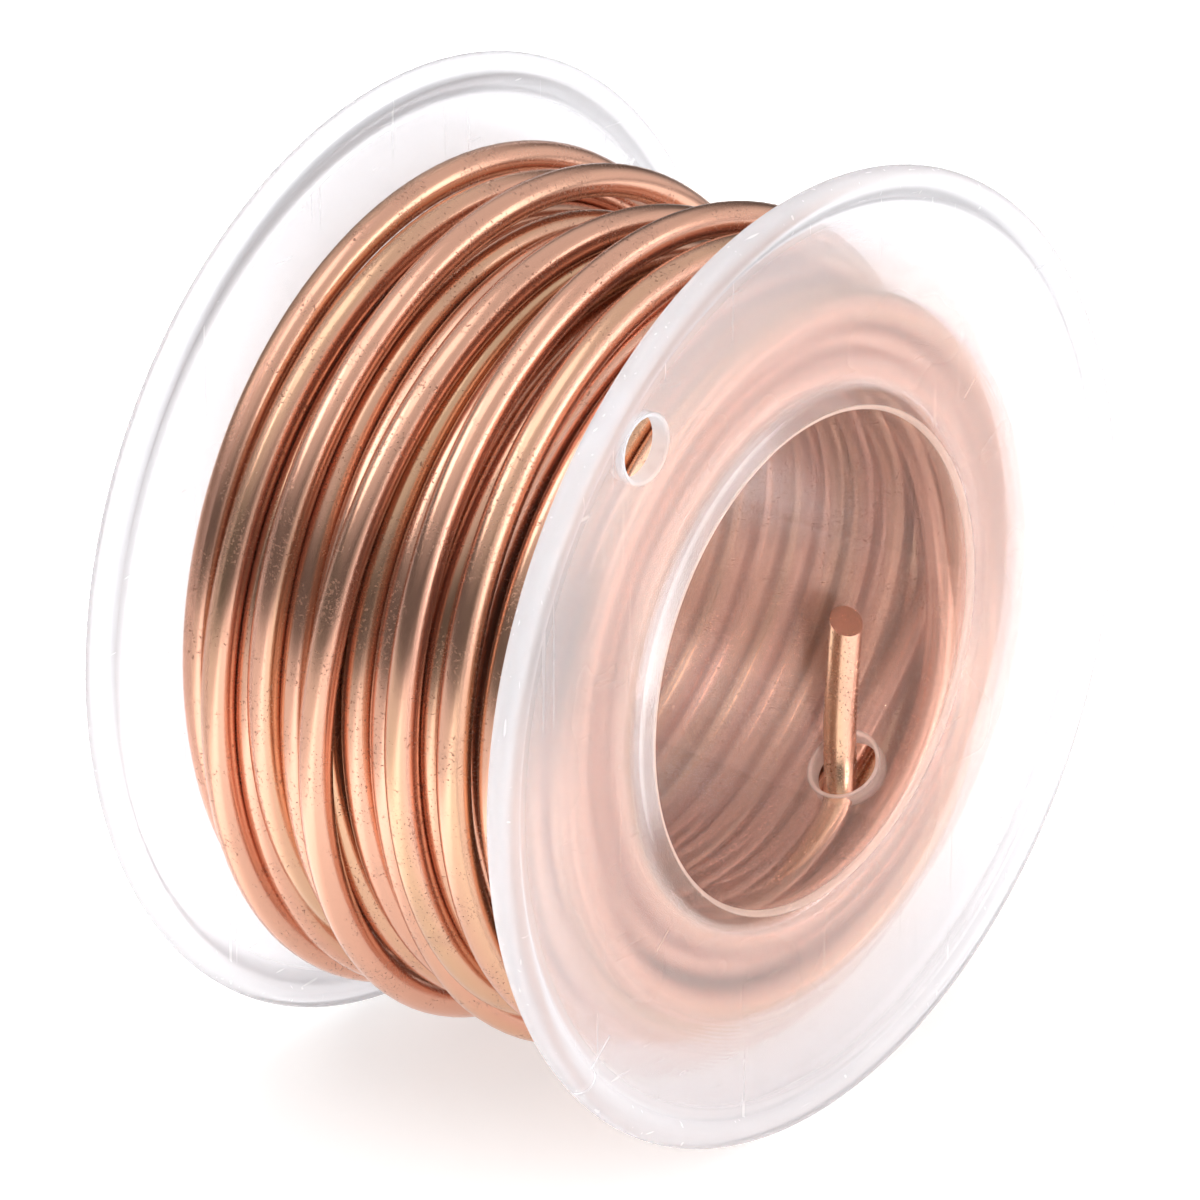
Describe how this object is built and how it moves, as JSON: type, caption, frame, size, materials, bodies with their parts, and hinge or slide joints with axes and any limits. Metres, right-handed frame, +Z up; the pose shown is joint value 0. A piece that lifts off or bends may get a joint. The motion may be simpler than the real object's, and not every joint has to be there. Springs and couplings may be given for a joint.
{
  "type": "wire spool",
  "caption": "Small translucent plastic spool wound with thick bare copper wire, its inner end standing in the open bore, with a tie hole in the front flange.",
  "frame": {"origin": "middle of the bore, half-way between the two flanges", "axes": "+Y along the bore from the front flange, which has the tie hole, to the back flange; +Z up with the spool standing on its two rims; +X to the right as the front flange is faced"},
  "size_m": [0.06, 0.0322, 0.06],
  "materials": {
    "clear_plastic": "milky translucent polypropylene, satin moulded surface",
    "copper_wire": "bare drawn copper, satin with faint drawing lines and light brown tarnish"
  },
  "bodies": {
    "root": {"hub": "clear_plastic", "front_flange": "clear_plastic", "back_flange": "clear_plastic", "wire_tail": "copper_wire", "wire_layer_1": "copper_wire", "wire_layer_2": "copper_wire", "wire_layer_3": "copper_wire", "wire_top_turns": "copper_wire"}
  },
  "joints": []
}
